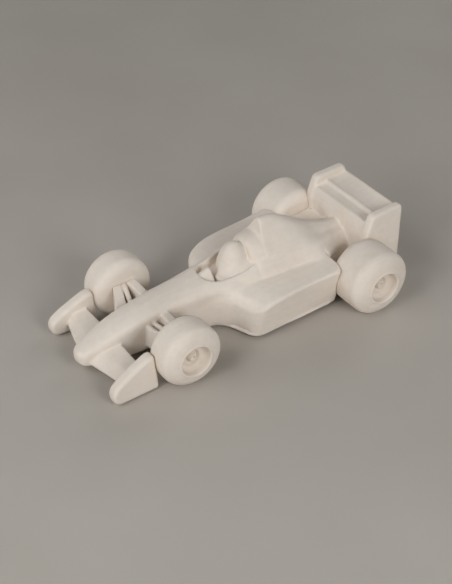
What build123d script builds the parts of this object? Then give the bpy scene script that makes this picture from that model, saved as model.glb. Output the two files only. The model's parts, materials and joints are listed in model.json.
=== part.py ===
"""Open wheel racing car, as a model cast in white earthenware.

Frame: millimetres, +X to the nose, +Y to the driver's left, +Z up. The origin is on the ground under the
middle of the bounding box. The wheels don't turn: every piece is bonded to its neighbours, face to face.
"""
from build123d import *
import os

os.makedirs("parts", exist_ok=True)

# ---------------------------------------------------------------- driving dimensions
NOSE_X = 127.0                  # nose tip; the rear wing's trailing edge is at -NOSE_X
FRONT_AXLE_X = 66.7
REAR_AXLE_X = -86.75
FOOT = 0.35                     # depth of the flat that is ground on each tyre's bottom
FLOOR_Z0, FLOOR_Z1 = 2.6, 7.0   # underside and top of the floor plate
NOSE_CUT_X = 54.0               # nose to tub
BULKHEAD_X = -21.0              # tub to engine cover, and the face of the airbox
POD_REAR_X = -66.0              # back of the side pods
SPLIT_Y = 21.0                  # tub and engine cover to side pods
TAIL_X = -95.0                  # back of the engine cover, front of the rear wing's block
POUR_X, POUR_R, POUR_TOP = -40.0, 6.0, 24.0   # pour hole in the underside and the cavity over it
ROOF = 95.0                     # above everything
HEAD_Z = 46.0                   # height of the axis that the helmet and the headrest are turned about
HEADREST_R = 14.0
AIRBOX_Z = 57.3                 # foot of the airbox's face
WELL_Z = 32.0                   # floor of the cockpit's well
RIGHT_FORE = 4.0                # how much further forward the right pod reaches

#    name     axle x        y mid  radius  width  shoulder  rim r  inner shoulder
WHEELS = {
    "front": (FRONT_AXLE_X, 47.0, 23.1, 26.6, 8.3, 11.6, 6.0),
    "rear": (REAR_AXLE_X, 51.2, 24.7, 35.6, 9.6, 12.0, 8.0),
}

# bodies along X: x, bottom half width, bottom z, top half width, edge z, crown z
NOSE = [
    (NOSE_X, 5.2, 8.6, 5.0, 13.8, 14.6),
    (123.5, 7.4, 6.8, 7.4, 16.4, 17.8),
    (110.0, 9.6, 5.2, 9.8, 22.0, 24.0),
    (90.0, 11.7, 4.2, 12.2, 28.8, 31.2),
    (70.0, 12.2, 4.0, 13.2, 32.6, 35.2),
    (NOSE_CUT_X, 12.1, 4.0, 14.2, 34.2, 37.4),
]
TUB = [
    (NOSE_CUT_X, 12.1, 4.0, 14.2, 34.2, 37.4),
    (38.0, 12.0, 4.0, 15.6, 34.8, 39.4),
    (26.0, 12.6, 4.0, 17.6, 34.9, 40.8),
    (14.0, 16.4, 4.0, 19.8, 35.2, 42.2),
    (2.0, 21.4, 4.0, 22.0, 36.2, 43.8),
    (BULKHEAD_X, 24.4, 4.0, 24.0, 38.0, 47.0),
]
# engine cover along X: x, bottom y and z, crease y and z, shoulder y and z, crest y and z
COVER = [
    (BULKHEAD_X, 24.5, 4.0, 24.0, 36.0, 16.4, 46.8, 2.2, 69.4),
    (-34.0, 26.6, 4.0, 26.0, 36.0, 18.4, 46.8, 3.4, 68.0),
    (-48.0, 29.2, 4.0, 28.6, 36.9, 20.8, 46.6, 4.8, 61.0),
    (-60.0, 31.0, 4.0, 30.4, 38.2, 21.6, 46.4, 6.2, 52.6),
    (-72.0, 24.4, 4.0, 23.2, 35.8, 15.2, 43.4, 6.0, 46.4),
    (-84.0, 18.6, 4.0, 17.4, 33.2, 10.8, 40.6, 4.8, 43.2),
    (TAIL_X, 17.0, 4.0, 15.8, 32.0, 9.2, 39.2, 4.0, 41.9),
]
# side pod along X: x, y and z of the bottom edge, y and z of the top edge, z where it meets the body
POD = [
    (36.0, 37.6, 4.0, 39.6, 14.8, 22.6),
    (20.0, 39.4, 4.0, 42.2, 21.6, 29.0),
    (6.0, 41.0, 4.0, 45.2, 26.9, 33.2),
    (-6.0, 41.6, 4.0, 47.0, 31.6, 35.0),
    (-22.0, 41.6, 4.0, 47.5, 34.6, 35.9),
    (-42.0, 40.8, 4.0, 47.8, 36.2, 36.9),
    (POD_REAR_X - 2.0, 40.4, 4.0, 50.0, 39.2, 39.8),
]


# ---------------------------------------------------------------- helpers
def slab(x0, x1, y0, y1, z0, z1):
    """A block by its low and high sides, for cutting."""
    with BuildPart() as cutter:
        with BuildSketch(Plane.XY.offset(z0)):
            with Locations(((x0 + x1) / 2, (y0 + y1) / 2)):
                Rectangle(x1 - x0, y1 - y0)
        extrude(amount=z1 - z0)
    return cutter.part


def other_side(piece):
    """The same piece on the driver's right."""
    with BuildPart() as right:
        mirror(piece, about=Plane.XZ)
    return right.part


def save(piece, name):
    piece.label = name
    export_step(piece, f"parts/{name}.step")
    print(f"{name:24s} solids {len(piece.solids())}  {piece.volume:9.0f} mm3")


def section_loft(table, radius):
    """A body lofted along X through round-cornered sections with a crowned top."""
    with BuildPart() as body:
        for x, wb, zb, wt, ze, zc in table:
            with BuildSketch(Plane.YZ.offset(x)) as section:
                with BuildLine():
                    Line((-wb, zb), (wb, zb))
                    Line((wb, zb), (wt, ze))
                    ThreePointArc((wt, ze), (0, zc), (-wt, ze))
                    Line((-wt, ze), (-wb, zb))
                make_face()
                fillet(section.vertices(), radius=min(radius, 0.42 * wt, 0.4 * (ze - zb)))
        loft()
    return body.part


def plate(points, y0, y1, corner=0.0, edge=0.0):
    """A plate across Y with a side outline of x, z points, its corners and its edges rounded."""
    with BuildPart() as flat:
        with BuildSketch(Plane.XZ.offset(-y0)) as outline:
            with BuildLine():
                Polyline([(x, z) for x, z in points] + [points[0]])
            make_face()
            if corner:
                fillet(outline.vertices(), radius=corner)
        extrude(amount=-(y1 - y0))
        if edge:
            fillet(flat.faces().filter_by(Axis.Y).edges(), radius=edge)
    return flat.part


def web(inner, outer, z0):
    """A web from inner to outer: each is y, then x and z at its rear and front. It goes down to z0."""
    with BuildPart() as arm:
        for y, xr, zr, xf, zf in (inner, outer):
            with BuildSketch(Plane.XZ.offset(-y)):
                with BuildLine():
                    Polyline([(xr, z0), (xf, z0), (xf, zf), (xr, zr), (xr, z0)])
                make_face()
        loft(ruled=True)
    return arm.part


# ---------------------------------------------------------------- wheels
def tyre_of(axle_x, y_mid, radius, width, shoulder, rim_r, inner_shoulder):
    zc = radius - FOOT
    y0, y1 = y_mid - width / 2, y_mid + width / 2
    seat = rim_r + 1.6
    with BuildPart() as tyre:
        with BuildSketch(Plane.YZ.offset(axle_x)):
            with BuildLine():
                Line((y0, zc + seat), (y1, zc + seat))
                Line((y1, zc + seat), (y1, zc + radius - shoulder))
                ThreePointArc((y1, zc + radius - shoulder),
                              (y1 - shoulder * 0.293, zc + radius - shoulder * 0.293),
                              (y1 - shoulder, zc + radius))
                Line((y1 - shoulder, zc + radius), (y0 + inner_shoulder, zc + radius))
                ThreePointArc((y0 + inner_shoulder, zc + radius),
                              (y0 + inner_shoulder * 0.293, zc + radius - inner_shoulder * 0.293),
                              (y0, zc + radius - inner_shoulder))
                Line((y0, zc + radius - inner_shoulder), (y0, zc + seat))
            make_face()
        revolve(axis=Axis((axle_x, 0, zc), (0, 1, 0)))
        split(bisect_by=Plane.XY, keep=Keep.TOP)
    return tyre.part


def wheel_of(axle_x, y_mid, radius, width, shoulder, rim_r, inner_shoulder):
    zc = radius - FOOT
    y0, y1 = y_mid - width / 2, y_mid + width / 2
    seat = rim_r + 1.6
    # y, radius: seat, lip, dish, hub
    profile = [(y0, 0), (y0, seat), (y1 + 0.4, seat), (y1 + 0.4, rim_r + 0.5), (y1 - 0.4, rim_r - 0.4),
               (y1 - 4.6, rim_r - 3.0), (y1 - 7.4, 4.6), (y1 - 7.4, 3.9), (y1 - 5.6, 3.4), (y1 - 5.6, 0), (y0, 0)]
    with BuildPart() as wheel:
        with BuildSketch(Plane.YZ.offset(axle_x)):
            with BuildLine():
                Polyline([(y, zc + r) for y, r in profile])
            make_face()
        revolve(axis=Axis((axle_x, 0, zc), (0, 1, 0)))
    return wheel.part


tyre, wheel, solid_wheel = {}, {}, {}
for end, row in WHEELS.items():
    tyre[end], wheel[end] = tyre_of(*row), wheel_of(*row)
    with BuildPart() as whole:
        add(tyre[end])
        add(wheel[end])
    solid_wheel[end] = whole.part

# ---------------------------------------------------------------- body, before it is divided
nose = section_loft(NOSE, 3.0)
tub = section_loft(TUB, 3.0)

with BuildPart() as cover_form:
    for x, wb, zb, yc, zc, ys, zs, yt, zt in COVER:
        with BuildSketch(Plane.YZ.offset(x)):
            with BuildLine():
                Polyline([(-wb, zb), (wb, zb), (yc, zc), (ys, zs), (yt, zt)])
                ThreePointArc((yt, zt), (0, zt + 0.3 * yt), (-yt, zt))
                Polyline([(-yt, zt), (-ys, zs), (-yc, zc), (-wb, zb)])
            make_face()
    loft()

pods = []
for fore in (0.0, RIGHT_FORE):
    with BuildPart() as pod_form:
        for x, yb, zb, ye, ze, zi in POD:
            with BuildSketch(Plane.YZ.offset(x + (fore if x > 0 else 0))):
                with BuildLine():
                    Polyline([(8, zb), (yb, zb), (ye, ze), (20, zi), (8, zi), (8, zb)])
                make_face()
        loft()
        with BuildSketch(Plane.XY):
            with BuildLine():
                Polyline([(POD_REAR_X, 8), (34.0, 8), (34.0, 9.0)])
                ThreePointArc((34.0, 9.0), (20.4 + fore / 3, 14.4 + fore / 3), (12.4 + fore, 24.0))
                ThreePointArc((12.4 + fore, 24.0), (9.0 + fore, 33.0), (5.4 + fore, 44.0))
                Polyline([(5.4 + fore, 44.0), (4.6 + fore, 60), (POD_REAR_X, 60), (POD_REAR_X, 8)])
            make_face()
        extrude(amount=ROOF, mode=Mode.INTERSECT)
    pods.append(pod_form.part)

# the cockpit's opening: a long tapered well, round at its front end
with BuildPart() as well:
    with BuildSketch(Plane.XY.offset(WELL_Z)):
        with BuildLine():
            ThreePointArc((23.0, -8.6), (26.2, 0), (23.0, 8.6))
            Line((23.0, 8.6), (6.0, 13.9))
            ThreePointArc((6.0, 13.9), (-4.0, 15.2), (-15.0, 14.6))
            Line((-15.0, 14.6), (-15.0, -14.6))
            ThreePointArc((-15.0, -14.6), (-4.0, -15.2), (6.0, -13.9))
            Line((6.0, -13.9), (23.0, -8.6))
        make_face()
    extrude(amount=40)

# what is cut off in front of the airbox, so that its face leans back and ends in a narrow top
with BuildPart() as airbox_face:
    with BuildSketch(Plane.XZ.offset(-30.0)):
        with BuildLine():
            Polyline([(BULKHEAD_X + 2, AIRBOX_Z), (BULKHEAD_X, AIRBOX_Z), (BULKHEAD_X - 2.2, ROOF - 20),
                      (BULKHEAD_X + 2, ROOF - 20), (BULKHEAD_X + 2, AIRBOX_Z)])
        make_face()
    extrude(amount=60.0)

with BuildPart() as body:
    add(tub)
    add(cover_form.part)
    add(pods[0])
    add(other_side(pods[1]))
    add(solid_wheel["rear"], mode=Mode.SUBTRACT)
    add(other_side(solid_wheel["rear"]), mode=Mode.SUBTRACT)
    add(well.part, mode=Mode.SUBTRACT)
    add(airbox_face.part, mode=Mode.SUBTRACT)

# ---------------------------------------------------------------- pieces of the body
with BuildPart() as nose_cone:
    add(nose)
save(nose_cone.part, "nose_cone")

with BuildPart() as cockpit_tub:
    add(body.part)
    add(slab(BULKHEAD_X, NOSE_CUT_X, -SPLIT_Y, SPLIT_Y, FLOOR_Z1, ROOF), mode=Mode.INTERSECT)
save(cockpit_tub.part, "cockpit_tub")

with BuildPart() as engine_cover:
    add(body.part)
    add(slab(TAIL_X, BULKHEAD_X, -SPLIT_Y, SPLIT_Y, FLOOR_Z1, ROOF), mode=Mode.INTERSECT)
    add(slab(BULKHEAD_X - 9, BULKHEAD_X, -SPLIT_Y, SPLIT_Y, AIRBOX_Z, ROOF), mode=Mode.SUBTRACT)
    with BuildSketch(Plane.XY.offset(FLOOR_Z1)):
        with Locations((POUR_X, 0)):
            Circle(11.0)
    extrude(amount=POUR_TOP - FLOOR_Z1, mode=Mode.SUBTRACT)
save(engine_cover.part, "engine_cover")

with BuildPart() as airbox:
    add(body.part)
    add(slab(BULKHEAD_X - 9, BULKHEAD_X, -SPLIT_Y, SPLIT_Y, AIRBOX_Z, ROOF), mode=Mode.INTERSECT)
save(airbox.part, "airbox")

for name, y0, y1 in (("left_side_pod", SPLIT_Y, 60), ("right_side_pod", -60, -SPLIT_Y)):
    with BuildPart() as side_pod:
        add(body.part)
        add(slab(POD_REAR_X, NOSE_CUT_X, y0, y1, FLOOR_Z1, ROOF), mode=Mode.INTERSECT)
    save(side_pod.part, name)

with BuildPart() as floor_plate:
    with BuildSketch(Plane.XY.offset(FLOOR_Z0)):
        with BuildLine():
            Polyline([(TAIL_X, 0), (TAIL_X, 17), (-72.0, 24), (POD_REAR_X, 30), (POD_REAR_X, 40.6), (-30.0, 41.6), (1.0, 41.6)])
            ThreePointArc((1.0, 41.6), (5.4, 40.4), (8.2, 37.6))
            ThreePointArc((8.2, 37.6), (11.0, 30.0), (14.6, 21.6))
            ThreePointArc((14.6, 21.6), (18.4, 15.8), (24.4, 13.0))
            Polyline([(24.4, 13.0), (36.0, 12.6), (NOSE_CUT_X, 11.9), (NOSE_CUT_X, 0), (TAIL_X, 0)])
        make_face()
    extrude(amount=FLOOR_Z1 - FLOOR_Z0)
    mirror(about=Plane.XZ)
    with Locations(Plane.XY.offset(FLOOR_Z1)):
        with Locations((POUR_X, 0)):
            Hole(radius=POUR_R)
    add(solid_wheel["rear"], mode=Mode.SUBTRACT)
    add(other_side(solid_wheel["rear"]), mode=Mode.SUBTRACT)
save(floor_plate.part, "floor_plate")

# ---------------------------------------------------------------- cockpit
# the driver's near shoulder fills the well on the left, up to just under the rim
with BuildPart() as shoulder:
    with BuildSketch(Plane.XY.offset(WELL_Z)):
        with BuildLine():
            Polyline([(-9.0, 2.4), (15.2, 2.4), (15.2, 10.2), (6.0, 13.1)])
            ThreePointArc((6.0, 13.1), (-1.0, 14.2), (-9.0, 14.2))
            Line((-9.0, 14.2), (-9.0, 2.4))
        make_face()
    extrude(amount=24.0)
    with BuildSketch(Plane.XZ.offset(-1.0)):
        with BuildLine():
            Polyline([(-10.0, WELL_Z), (16.0, WELL_Z), (16.0, 37.4), (-10.0, 43.0), (-10.0, WELL_Z)])
        make_face()
    extrude(amount=-16.0, mode=Mode.INTERSECT)

# a plain egg of a helmet, very slightly flat on top: radius and height of its outline, turned about an upright axis
HELMET_X = -2.6
HELMET = [(12.6, WELL_Z), (12.6, 35.0), (11.3, 44.0), (9.0, 50.0), (6.6, 54.3), (0.6, 57.4), (0.0, 57.4)]
with BuildPart() as driver_helmet:
    # the outline is drawn on the right, away from the shoulder
    with BuildSketch(Plane(origin=(HELMET_X, 0, 0), x_dir=(0, -1, 0), z_dir=(-1, 0, 0))):
        with BuildLine():
            Line((0, WELL_Z), HELMET[0])
            Line(*HELMET[:2])
            ThreePointArc(*HELMET[1:4])
            ThreePointArc(*HELMET[3:6])
            Line(*HELMET[5:7])
            Line(HELMET[6], (0, WELL_Z))
        make_face()
    revolve(axis=Axis((HELMET_X, 0, 0), (0, 0, 1)))
    add(shoulder.part)
    add(cockpit_tub.part, mode=Mode.SUBTRACT)
save(driver_helmet.part, "driver_helmet")

# the hoop behind it, bevelled towards the helmet, on two straight legs
with BuildPart() as headrest:
    with BuildSketch(Plane.XZ):
        with BuildLine():
            Polyline([(BULKHEAD_X, HEAD_Z), (BULKHEAD_X, HEAD_Z + HEADREST_R), (-13.2, HEAD_Z + HEADREST_R),
                      (-10.4, HEAD_Z + 11.4), (-10.4, HEAD_Z), (BULKHEAD_X, HEAD_Z)])
        make_face()
    revolve(axis=Axis((0, 0, HEAD_Z), (1, 0, 0)))
    with BuildSketch(Plane.XY.offset(WELL_Z)):
        with BuildLine():
            Polyline([(BULKHEAD_X, -HEADREST_R), (BULKHEAD_X, HEADREST_R), (-13.2, HEADREST_R), (-10.4, 11.4),
                      (-10.4, -11.4), (-13.2, -HEADREST_R), (BULKHEAD_X, -HEADREST_R)])
        make_face()
    extrude(amount=HEAD_Z - WELL_Z)
    add(cockpit_tub.part, mode=Mode.SUBTRACT)
    add(driver_helmet.part, mode=Mode.SUBTRACT)
save(headrest.part, "headrest")

# a roof-shaped wedge with an upright edge in front of the driver: x, half width, z of its eaves and of its ridge
DASH = [(17.0, 7.6, 34.2, 45.6), (25.0, 4.4, 35.4, 42.2)]
with BuildPart() as dash_cowl:
    for x, w, z_eaves, z_ridge in DASH:
        with BuildSketch(Plane.YZ.offset(x)):
            with BuildLine():
                Polyline([(-w, WELL_Z), (w, WELL_Z), (w, z_eaves), (0, z_ridge), (-w, z_eaves), (-w, WELL_Z)])
            make_face()
    loft(ruled=True)
save(dash_cowl.part, "dash_cowl")

# ---------------------------------------------------------------- front wing
END_PLATE = [(124.4, 9.0), (123.2, 4.2), (119.4, 0.6), (72.0, 0.6), (72.0, 26.6), (88.4, 29.4), (94.4, 29.4),
             (106.0, 24.0), (115.4, 18.9), (122.6, 13.4)]
with BuildPart() as front_end_plate:
    add(plate(END_PLATE, 38.2, 46.9, corner=1.2, edge=1.8))
    add(solid_wheel["front"], mode=Mode.SUBTRACT)
    add(slab(FRONT_AXLE_X, 140, 30, 60, 0, 60), mode=Mode.INTERSECT)
save(front_end_plate.part, "left_front_end_plate")
save(other_side(front_end_plate.part), "right_front_end_plate")

with BuildPart() as front_wing:
    for y, lead in ((9.0, 119.6), (41.0, 111.4)):
        with BuildSketch(Plane.XZ.offset(-y)):
            with BuildLine():
                Polyline([(lead, 8.6), (lead, 12.6), (lead - 2.0, 13.6), (97.0, 19.8), (96.6, 17.4), (lead, 8.6)])
            make_face()
    loft(ruled=True)
    add(nose, mode=Mode.SUBTRACT)
    add(front_end_plate.part, mode=Mode.SUBTRACT)
save(front_wing.part, "front_wing_left")
save(other_side(front_wing.part), "front_wing_right")

# ---------------------------------------------------------------- suspension
#   name, inner end and outer end on the left (y, x rear, z rear, x front, z front), the same on the right, bottom z
FRONT_ARMS = [
    ("forward_arm", (11.0, 73.9, 25.6, 77.4, 25.4), (34.0, 70.6, 31.0, 75.9, 30.8),
     (11.0, 77.0, 25.6, 87.8, 25.2), (34.0, 70.6, 31.0, 76.0, 30.8), 9.0),
    ("pushrod", (11.0, 69.4, 26.6, 71.8, 26.6), (34.0, 66.9, 31.2, 70.0, 31.2),
     (11.0, 72.4, 26.6, 74.8, 26.6), (34.0, 66.9, 31.2, 70.0, 31.2), 21.0),
    ("rearward_arm", (11.0, 59.2, 31.8, 65.4, 31.6), (34.0, 59.0, 31.0, 66.0, 30.8),
     (11.0, 59.2, 31.8, 65.4, 31.6), (34.0, 59.0, 31.0, 66.0, 30.8), 9.0),
]
for name, inner_left, outer_left, inner_right, outer_right, z0 in FRONT_ARMS:
    for word, inner, outer in (("left", inner_left, outer_left), ("right", inner_right, outer_right)):
        with BuildPart() as arm:
            add(web(inner, outer, z0))
            add(nose, mode=Mode.SUBTRACT)
            add(solid_wheel["front"], mode=Mode.SUBTRACT)
        save(arm.part if word == "left" else other_side(arm.part), f"front_{word}_{name}")

REAR_END_PLATE = [(-95.0, 10.0), (-94.6, 48.0), (-96.4, 54.4), (-98.8, 62.6), (-125.4, 63.6), (-127.0, 61.0),
                  (-127.0, 16.0), (-120.0, 10.0)]
with BuildPart() as rear_end_plate:
    add(plate(REAR_END_PLATE, 29.5, 36.5, corner=1.2, edge=1.6))
    add(solid_wheel["rear"], mode=Mode.SUBTRACT)
save(rear_end_plate.part, "left_rear_end_plate")
save(other_side(rear_end_plate.part), "right_rear_end_plate")

# the web behind the engine is low on the left and a ledge on the right
REAR_ARMS = [
    ("left", (8.0, TAIL_X, 27.0, -76.0, 17.0), (34.0, TAIL_X, 27.0, -77.0, 16.0)),
    ("right", (8.0, TAIL_X, 35.4, -71.6, 33.0), (34.0, TAIL_X, 35.4, -72.6, 33.0)),
]
for word, inner, outer in REAR_ARMS:
    with BuildPart() as rear_web:
        add(web(inner, outer, 9.0))
        add(engine_cover.part, mode=Mode.SUBTRACT)
        add(solid_wheel["rear"], mode=Mode.SUBTRACT)
        add(rear_end_plate.part, mode=Mode.SUBTRACT)
    save(rear_web.part if word == "left" else other_side(rear_web.part), f"rear_{word}_arm")

# ---------------------------------------------------------------- rear wing
with BuildPart() as wing_block:
    add(plate([(TAIL_X, 7.0), (TAIL_X, 46.0), (-97.0, 50.0), (-121.0, 50.0), (-113.0, 40.0), (-113.0, 7.0)], -29.5, 29.5))
save(wing_block.part, "rear_wing_pylon")

with BuildPart() as mainplane:
    add(plate([(-97.0, 50.0), (-97.4, 55.0), (-102.0, 54.7), (-106.6, 55.4), (-108.0, 57.4), (-108.0, 50.0)], -29.5, 29.5))
save(mainplane.part, "rear_wing_mainplane")

with BuildPart() as flap:
    add(plate([(-108.0, 50.0), (-108.0, 57.6), (-125.5, 59.4), (-126.4, 57.4), (-121.0, 50.0)], -29.5, 29.5))
save(flap.part, "rear_wing_flap")

with BuildPart() as tail_box:
    add(plate([(-113.0, 8.0), (-113.0, 32.0), (-119.0, 30.0), (-123.0, 24.0), (-123.0, 12.0), (-119.0, 8.0)], -10.0, 10.0))
save(tail_box.part, "gearbox_tail")

# ---------------------------------------------------------------- tyres and wheels
for end in WHEELS:
    save(tyre[end], f"{end}_left_tyre")
    save(other_side(tyre[end]), f"{end}_right_tyre")
    save(wheel[end], f"{end}_left_wheel")
    save(other_side(wheel[end]), f"{end}_right_wheel")
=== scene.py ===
import bpy, math, json
import numpy as np
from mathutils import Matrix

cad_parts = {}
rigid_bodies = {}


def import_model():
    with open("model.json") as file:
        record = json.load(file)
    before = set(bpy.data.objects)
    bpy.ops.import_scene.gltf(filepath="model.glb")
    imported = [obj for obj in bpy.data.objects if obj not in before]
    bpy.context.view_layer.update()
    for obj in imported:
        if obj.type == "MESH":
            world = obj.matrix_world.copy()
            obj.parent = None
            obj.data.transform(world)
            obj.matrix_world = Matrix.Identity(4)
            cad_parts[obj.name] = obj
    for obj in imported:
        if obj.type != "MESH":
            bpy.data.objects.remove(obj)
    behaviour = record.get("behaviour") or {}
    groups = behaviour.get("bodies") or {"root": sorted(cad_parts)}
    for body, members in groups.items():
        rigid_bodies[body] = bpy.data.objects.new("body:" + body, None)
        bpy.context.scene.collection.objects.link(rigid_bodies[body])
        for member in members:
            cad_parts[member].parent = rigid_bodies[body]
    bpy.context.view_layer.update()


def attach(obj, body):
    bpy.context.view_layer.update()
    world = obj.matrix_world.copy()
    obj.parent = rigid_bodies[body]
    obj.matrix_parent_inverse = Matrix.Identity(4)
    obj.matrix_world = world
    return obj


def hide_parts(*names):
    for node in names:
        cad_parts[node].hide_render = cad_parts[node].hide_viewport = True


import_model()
import openvdb as vdb
from mathutils import Vector, Matrix

H = 0.70         # grid step, mm
f32 = np.float32

# ------------------------------------------------------------------ the grid (one half, y >= 0), in mm
GX = np.arange(-131.0, 131.0 + H, H).astype(f32)
GY = (np.arange(0, int(57.0 / H) + 1) * H).astype(f32)
GZ = np.arange(-2.6, 74.0 + H, H).astype(f32)
BIG = 8.0
N = (len(GX), len(GY), len(GZ))


class Win:
    """A window of the grid, with broadcastable coordinates."""
    def __init__(self, x0, x1, y0, y1, z0, z1, m=6.0):
        def cut(G, a, b):
            i = max(int(np.searchsorted(G, a - m)) - 1, 0)
            j = min(int(np.searchsorted(G, b + m)) + 1, len(G))
            return slice(i, j)
        self.s = (cut(GX, x0, x1), cut(GY, y0, y1), cut(GZ, z0, z1))
        self.x = GX[self.s[0]][:, None, None]
        self.y = GY[self.s[1]][None, :, None]
        self.z = GZ[self.s[2]][None, None, :]
        self.shape = (self.x.shape[0], self.y.shape[1], self.z.shape[2])

    def full(self, a):
        return np.ascontiguousarray(np.broadcast_to(a, self.shape)).astype(f32)


def poly(u, v, pts):
    """Signed distance to a polygon. Each vertex may vary over the window."""
    n = len(pts); d = None; s = None
    for i in range(n):
        a, b = pts[i], pts[i - 1]
        e0, e1 = b[0] - a[0], b[1] - a[1]
        w0, w1 = u - a[0], v - a[1]
        t = np.clip((w0 * e0 + w1 * e1) / np.maximum(e0 * e0 + e1 * e1, 1e-9), 0, 1)
        q = (w0 - e0 * t) ** 2 + (w1 - e1 * t) ** 2
        c1, c2, c3 = v >= a[1], v < b[1], e0 * w1 > e1 * w0
        flip = (c1 & c2 & c3) | (~c1 & ~c2 & ~c3)
        d = q if d is None else np.minimum(d, q)
        s = np.where(flip, -1.0, 1.0) if s is None else np.where(flip, -s, s)
    return (s * np.sqrt(d)).astype(f32)


def soften(pts, rs, n=4):
    """The polygon with each corner replaced by a short curve that takes up to r of each side."""
    out = []; m = len(pts)
    for i in range(m):
        p, r = pts[i], rs[i]
        if isinstance(r, (int, float)) and r == 0:
            out.append(p); continue
        ends = []
        for o in (pts[i - 1], pts[(i + 1) % m]):
            dx, dy = o[0] - p[0], o[1] - p[1]
            t = np.minimum(r / (np.sqrt(dx * dx + dy * dy) + 1e-6), 0.5)
            ends.append((p[0] + dx * t, p[1] + dy * t))
        a, b = ends
        for k in range(n + 1):
            t = k / n
            out.append(((1 - t) ** 2 * a[0] + 2 * t * (1 - t) * p[0] + t * t * b[0],
                        (1 - t) ** 2 * a[1] + 2 * t * (1 - t) * p[1] + t * t * b[1]))
    return out


def iround(a, b, r):
    return np.minimum(-r, np.maximum(a, b)) + np.sqrt(np.maximum(r + a, 0) ** 2 + np.maximum(r + b, 0) ** 2)


def uround(a, b, r):
    return np.maximum(r, np.minimum(a, b)) - np.sqrt(np.maximum(r - a, 0) ** 2 + np.maximum(r - b, 0) ** 2)


def even(d):
    """Makes the field's slope one near its surface."""
    g = np.gradient(d, H)
    n = np.sqrt(g[0] ** 2 + g[1] ** 2 + g[2] ** 2)
    return (d / np.clip(n, 0.75, 2.0)).astype(f32)


def table(rows, at, soft):
    """The columns of a table at the stations, smoothed over a length."""
    rows = sorted(rows)
    xs = np.array([r[0] for r in rows], float)
    fine = np.arange(xs[0] - 30, xs[-1] + 30, 0.25)
    k = np.exp(-0.5 * (np.arange(-60, 61) * 0.25 / soft) ** 2); k /= k.sum()
    out = []
    for c in range(1, len(rows[0])):
        col = np.array([r[c] for r in rows], float)
        v = np.interp(fine, xs, col)
        lo = col[0] + (fine - xs[0]) * (col[1] - col[0]) / (xs[1] - xs[0])
        hi = col[-1] + (fine - xs[-1]) * (col[-1] - col[-2]) / (xs[-1] - xs[-2])
        v = np.where(fine < xs[0], lo, np.where(fine > xs[-1], hi, v))
        v = np.convolve(np.pad(v, 60, mode="edge"), k, mode="valid")
        out.append(np.interp(at, fine, v).astype(f32))
    return out


def ease(t, a, b):
    """0 below a, 1 above b, smooth between."""
    s = np.clip((t - a) / (b - a), 0, 1)
    return s * s * (3 - 2 * s)


def ccw(p):
    a = sum(p[i - 1][0] * p[i][1] - p[i][0] * p[i - 1][1] for i in range(len(p)))
    return p if a > 0 else p[::-1]


# ------------------------------------------------------------------ measures, mm
FOOT = 0.35
# out is the tyre's outer shoulder: how far in from the side wall, and how far below the tread
FRONT = dict(x=66.7, y0=33.7, y1=60.3, R=23.1, inn=7.5, rim=11.3, seat=13.2, out=[(8.9, 0.0), (5.6, 0.7), (1.9, 4.9), (0.6, 8.2)])
REAR = dict(x=-86.75, y0=33.8, y1=68.8, R=24.7, inn=8.5, rim=11.5, seat=13.6, out=[(8.0, 0.0), (5.0, 1.0), (1.9, 5.6), (0.5, 9.4)])
NOSE_CUT, BULK, POD_REAR, SPLIT, TAIL, FLOOR, AIRBOX_Z = 54.0, -21.0, -66.0, 21.0, -95.0, 7.0, 57.3
HEAD = 46.0

# x, bottom y, bottom z, edge y, edge z, rim y, rim z, crown z
NOSE_TUB = [
    (127, 6.6, 7.6, 6.6, 14.6, 3.4, 16.0, 16.4), (122, 7.7, 6.6, 7.8, 16.6, 4.1, 18.0, 18.3),
    (110, 9.6, 5.2, 9.8, 21.8, 5.2, 23.7, 24.1), (100, 11.0, 4.6, 11.4, 25.7, 5.9, 27.8, 28.3),
    (90, 11.7, 4.2, 12.2, 28.6, 6.3, 30.8, 31.3), (80, 12.0, 4.0, 12.6, 30.9, 6.6, 33.1, 33.7),
    (70, 12.2, 4.0, 13.2, 32.5, 6.9, 34.7, 35.3), (60, 12.2, 4.0, 13.8, 33.8, 7.5, 36.0, 36.7),
    (50, 12.0, 4.0, 14.4, 34.6, 8.4, 37.1, 37.9), (40, 11.8, 4.0, 15.4, 34.8, 9.2, 38.4, 39.4),
    (30, 10.6, 4.0, 16.8, 34.8, 10.4, 39.8, 41.0), (24, 10.8, 4.0, 17.9, 34.8, 11.2, 40.6, 41.8),
    (16, 15.2, 4.0, 19.4, 34.8, 13.2, 39.4, 41.2), (8, 18.6, 4.0, 21.0, 34.9, 14.9, 40.4, 42.2),
    (0, 22.6, 4.0, 22.5, 34.9, 17.0, 42.4, 44.2), (-6, 23.4, 4.0, 23.3, 35.0, 17.2, 43.8, 45.2),
    (-14, 24.0, 4.0, 23.9, 35.3, 16.6, 45.2, 46.8), (-21, 24.4, 4.0, 24.2, 36.0, 16.4, 46.6, 49.0),
    (-40, 24.4, 4.0, 24.2, 36.0, 16.4, 46.6, 49.0),
]
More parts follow.
